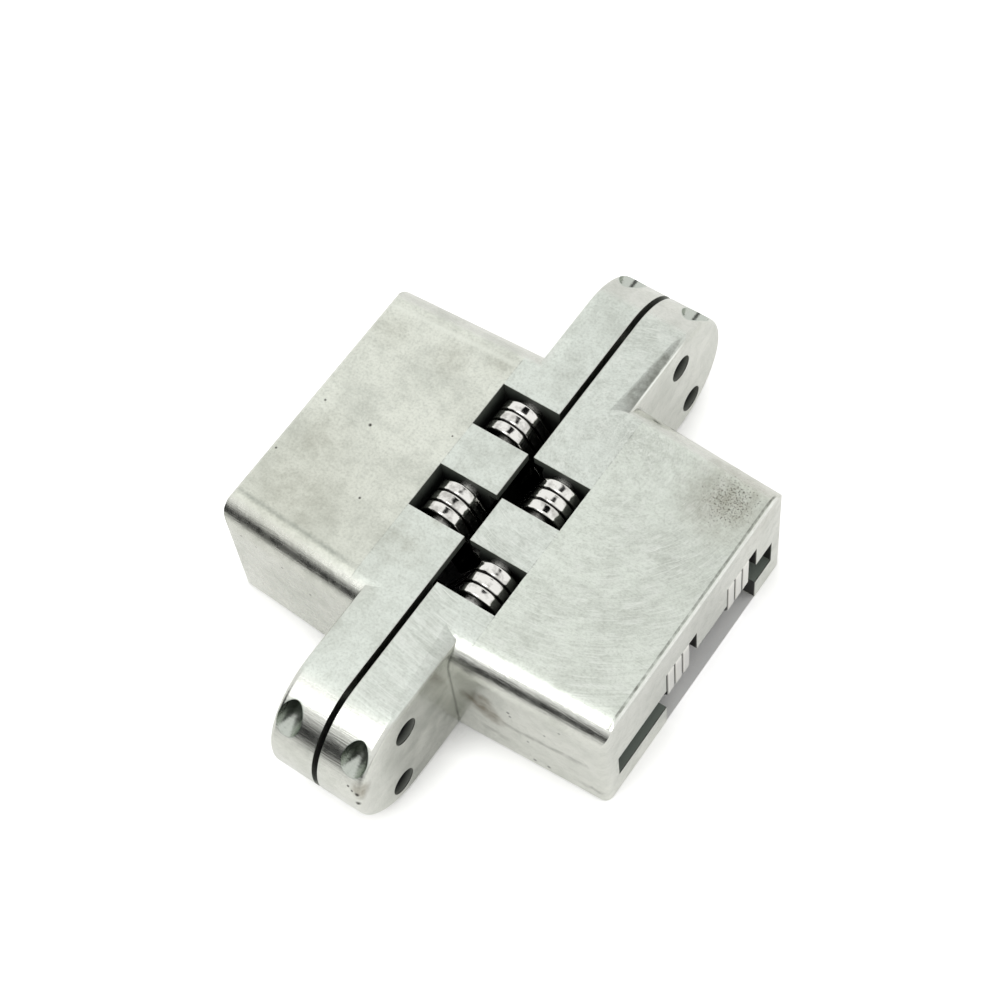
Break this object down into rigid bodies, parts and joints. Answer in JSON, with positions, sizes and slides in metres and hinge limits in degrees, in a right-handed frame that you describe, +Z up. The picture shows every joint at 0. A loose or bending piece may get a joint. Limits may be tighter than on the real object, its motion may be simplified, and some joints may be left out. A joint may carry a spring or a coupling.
{
  "type": "concealed hinge",
  "caption": "Concealed mortise hinge: two round-ended cast leaves with slotted boxes behind, joined by crossed steel links that fold inside, so a door closes with no knuckle showing.",
  "frame": {"origin": "under the middle of the gap between the leaves, on the wide face that the hinge lies on", "axes": "+X across the gap from the left leaf to the right, +Y along the gap, +Z up through the leaves' width towards the knuckle side; hinge closed"},
  "size_m": [0.0842, 0.1174, 0.0286],
  "materials": {
    "cast_zinc": "satin zinc die casting",
    "link_steel": "polished stamped steel",
    "pin_steel": "ground steel rod"
  },
  "bodies": {
    "left_leaf": {"left_leaf": "cast_zinc", "left_pivot_pin": "pin_steel"},
    "left_links": {"left_link_1": "link_steel", "left_link_2": "link_steel", "left_link_3": "link_steel", "left_link_4": "link_steel", "left_link_5": "link_steel", "left_link_6": "link_steel", "centre_pin": "pin_steel", "right_slide_pin": "pin_steel"},
    "right_links": {"right_link_1": "link_steel", "right_link_2": "link_steel", "right_link_3": "link_steel", "right_link_4": "link_steel", "right_link_5": "link_steel", "right_link_6": "link_steel", "left_slide_pin": "pin_steel"},
    "right_leaf": {"right_leaf": "cast_zinc", "right_pivot_pin": "pin_steel"}
  },
  "joints": [
    {"name": "left_link_pivot", "type": "hinge", "parent": "left_leaf", "child": "left_links", "pos_m": [-0.0071, 0, 0.0242], "axis": [0, -1, 0], "range_deg": [0, 120]},
    {"name": "cross_pivot", "type": "hinge", "parent": "left_links", "child": "right_links", "pos_m": [0, 0, 0.0092], "axis": [0, -1, 0], "range_deg": [-60, 0]},
    {"name": "right_link_pivot", "type": "hinge", "parent": "right_links", "child": "right_leaf", "pos_m": [0.0071, 0, 0.0242], "axis": [0, -1, 0], "range_deg": [0, 120]}
  ],
  "couplings": [
    {"joint": "cross_pivot", "follows": "left_link_pivot", "ratio": -0.5},
    {"joint": "right_link_pivot", "follows": "left_link_pivot", "ratio": 1}
  ]
}
